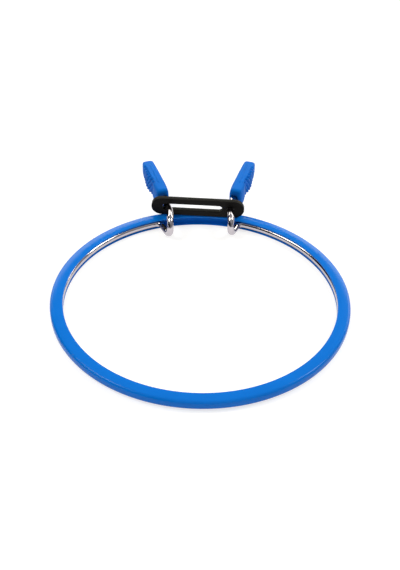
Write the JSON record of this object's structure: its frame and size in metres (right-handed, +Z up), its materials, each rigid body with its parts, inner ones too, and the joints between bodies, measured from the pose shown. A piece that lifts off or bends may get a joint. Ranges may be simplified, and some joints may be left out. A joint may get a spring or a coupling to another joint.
{
  "type": "spring-tension embroidery hoop",
  "caption": "Round blue plastic embroidery hoop with a sprung steel inner ring whose ends cross a slotted black guide plate into two ribbed squeeze grips.",
  "frame": {"origin": "middle of the footprint, on the plane that the hoop lies on", "axes": "+Z up through the ring from the side it lies on, +Y towards the grips in the plane of the ring, +X to the right when the grips point away from the viewer"},
  "size_m": [0.137, 0.1696, 0.0162],
  "materials": {
    "ring_plastic": "blue moulded plastic with a soft satin shine",
    "spring_steel": "bright plated spring steel wire",
    "grip_plastic": "blue moulded plastic, slightly duller than the ring",
    "plate_plastic": "black plastic with a dull sheen"
  },
  "bodies": {
    "outer_ring": {"outer_ring": "ring_plastic"},
    "spring_left": {"spring_wire_left": "spring_steel", "grip_left": "grip_plastic"},
    "spring_right": {"spring_wire_right": "spring_steel", "grip_right": "grip_plastic"},
    "guide_plate": {"guide_plate": "plate_plastic"}
  },
  "joints": [
    {"name": "squeeze_left", "type": "hinge", "parent": "outer_ring", "child": "spring_left", "pos_m": [0.00134, -0.08051, 0.00235], "axis": [0, 0, -1], "range_deg": [0, 5.5], "stiffness_Nm_per_rad": 10, "springref_deg": -2.86},
    {"name": "squeeze_right", "type": "hinge", "parent": "outer_ring", "child": "spring_right", "pos_m": [0.00134, -0.08051, 0.00235], "axis": [0, 0, 1], "range_deg": [0, 5.5], "stiffness_Nm_per_rad": 10, "springref_deg": -2.86},
    {"name": "plate_swivel", "type": "hinge", "parent": "spring_right", "child": "guide_plate", "pos_m": [0.01384, 0.04658, 0.0102], "axis": [0, 0, 1], "range_deg": [-5.5, 0]}
  ],
  "couplings": [
    {"joint": "plate_swivel", "follows": "squeeze_right", "ratio": -1}
  ]
}
